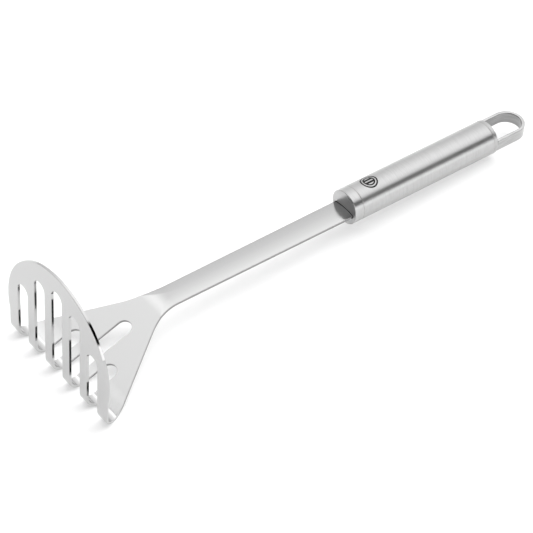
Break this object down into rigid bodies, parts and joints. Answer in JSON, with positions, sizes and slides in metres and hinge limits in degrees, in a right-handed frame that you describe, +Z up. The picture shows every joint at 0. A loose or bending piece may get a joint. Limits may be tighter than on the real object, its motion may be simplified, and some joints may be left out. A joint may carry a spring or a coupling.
{
  "type": "potato masher",
  "caption": "Hand potato masher: slotted flat plate, bent neck and stem in one steel sheet, held in a round tubular handle with a hanging loop.",
  "frame": {"origin": "on the surface that the tool lies on, under the middle of its bounding box", "axes": "+X from the mashing plate towards the hanging loop, +Y across the tool, +Z up; the tool lies on the heel of its blade and the rim of its end cap, so its long axis slopes down 2.3 degrees towards the loop"},
  "size_m": [0.3152, 0.0874, 0.0709],
  "materials": {
    "blade_steel": "fine satin-polished stainless steel sheet with bright edges",
    "cap_steel": "turned and brushed stainless steel",
    "tube_steel": "brushed stainless steel tube with a small dark etched mark",
    "loop_steel": "brushed stainless steel strip",
    "weld_metal": "stainless steel weld, as welded"
  },
  "bodies": {
    "root": {"masher_blade": "blade_steel", "front_cap": "cap_steel", "handle_tube": "tube_steel", "end_cap": "cap_steel", "hanging_loop": "loop_steel", "tang_weld": "weld_metal", "front_seam_weld": "weld_metal", "end_seam_weld": "weld_metal"}
  },
  "joints": []
}
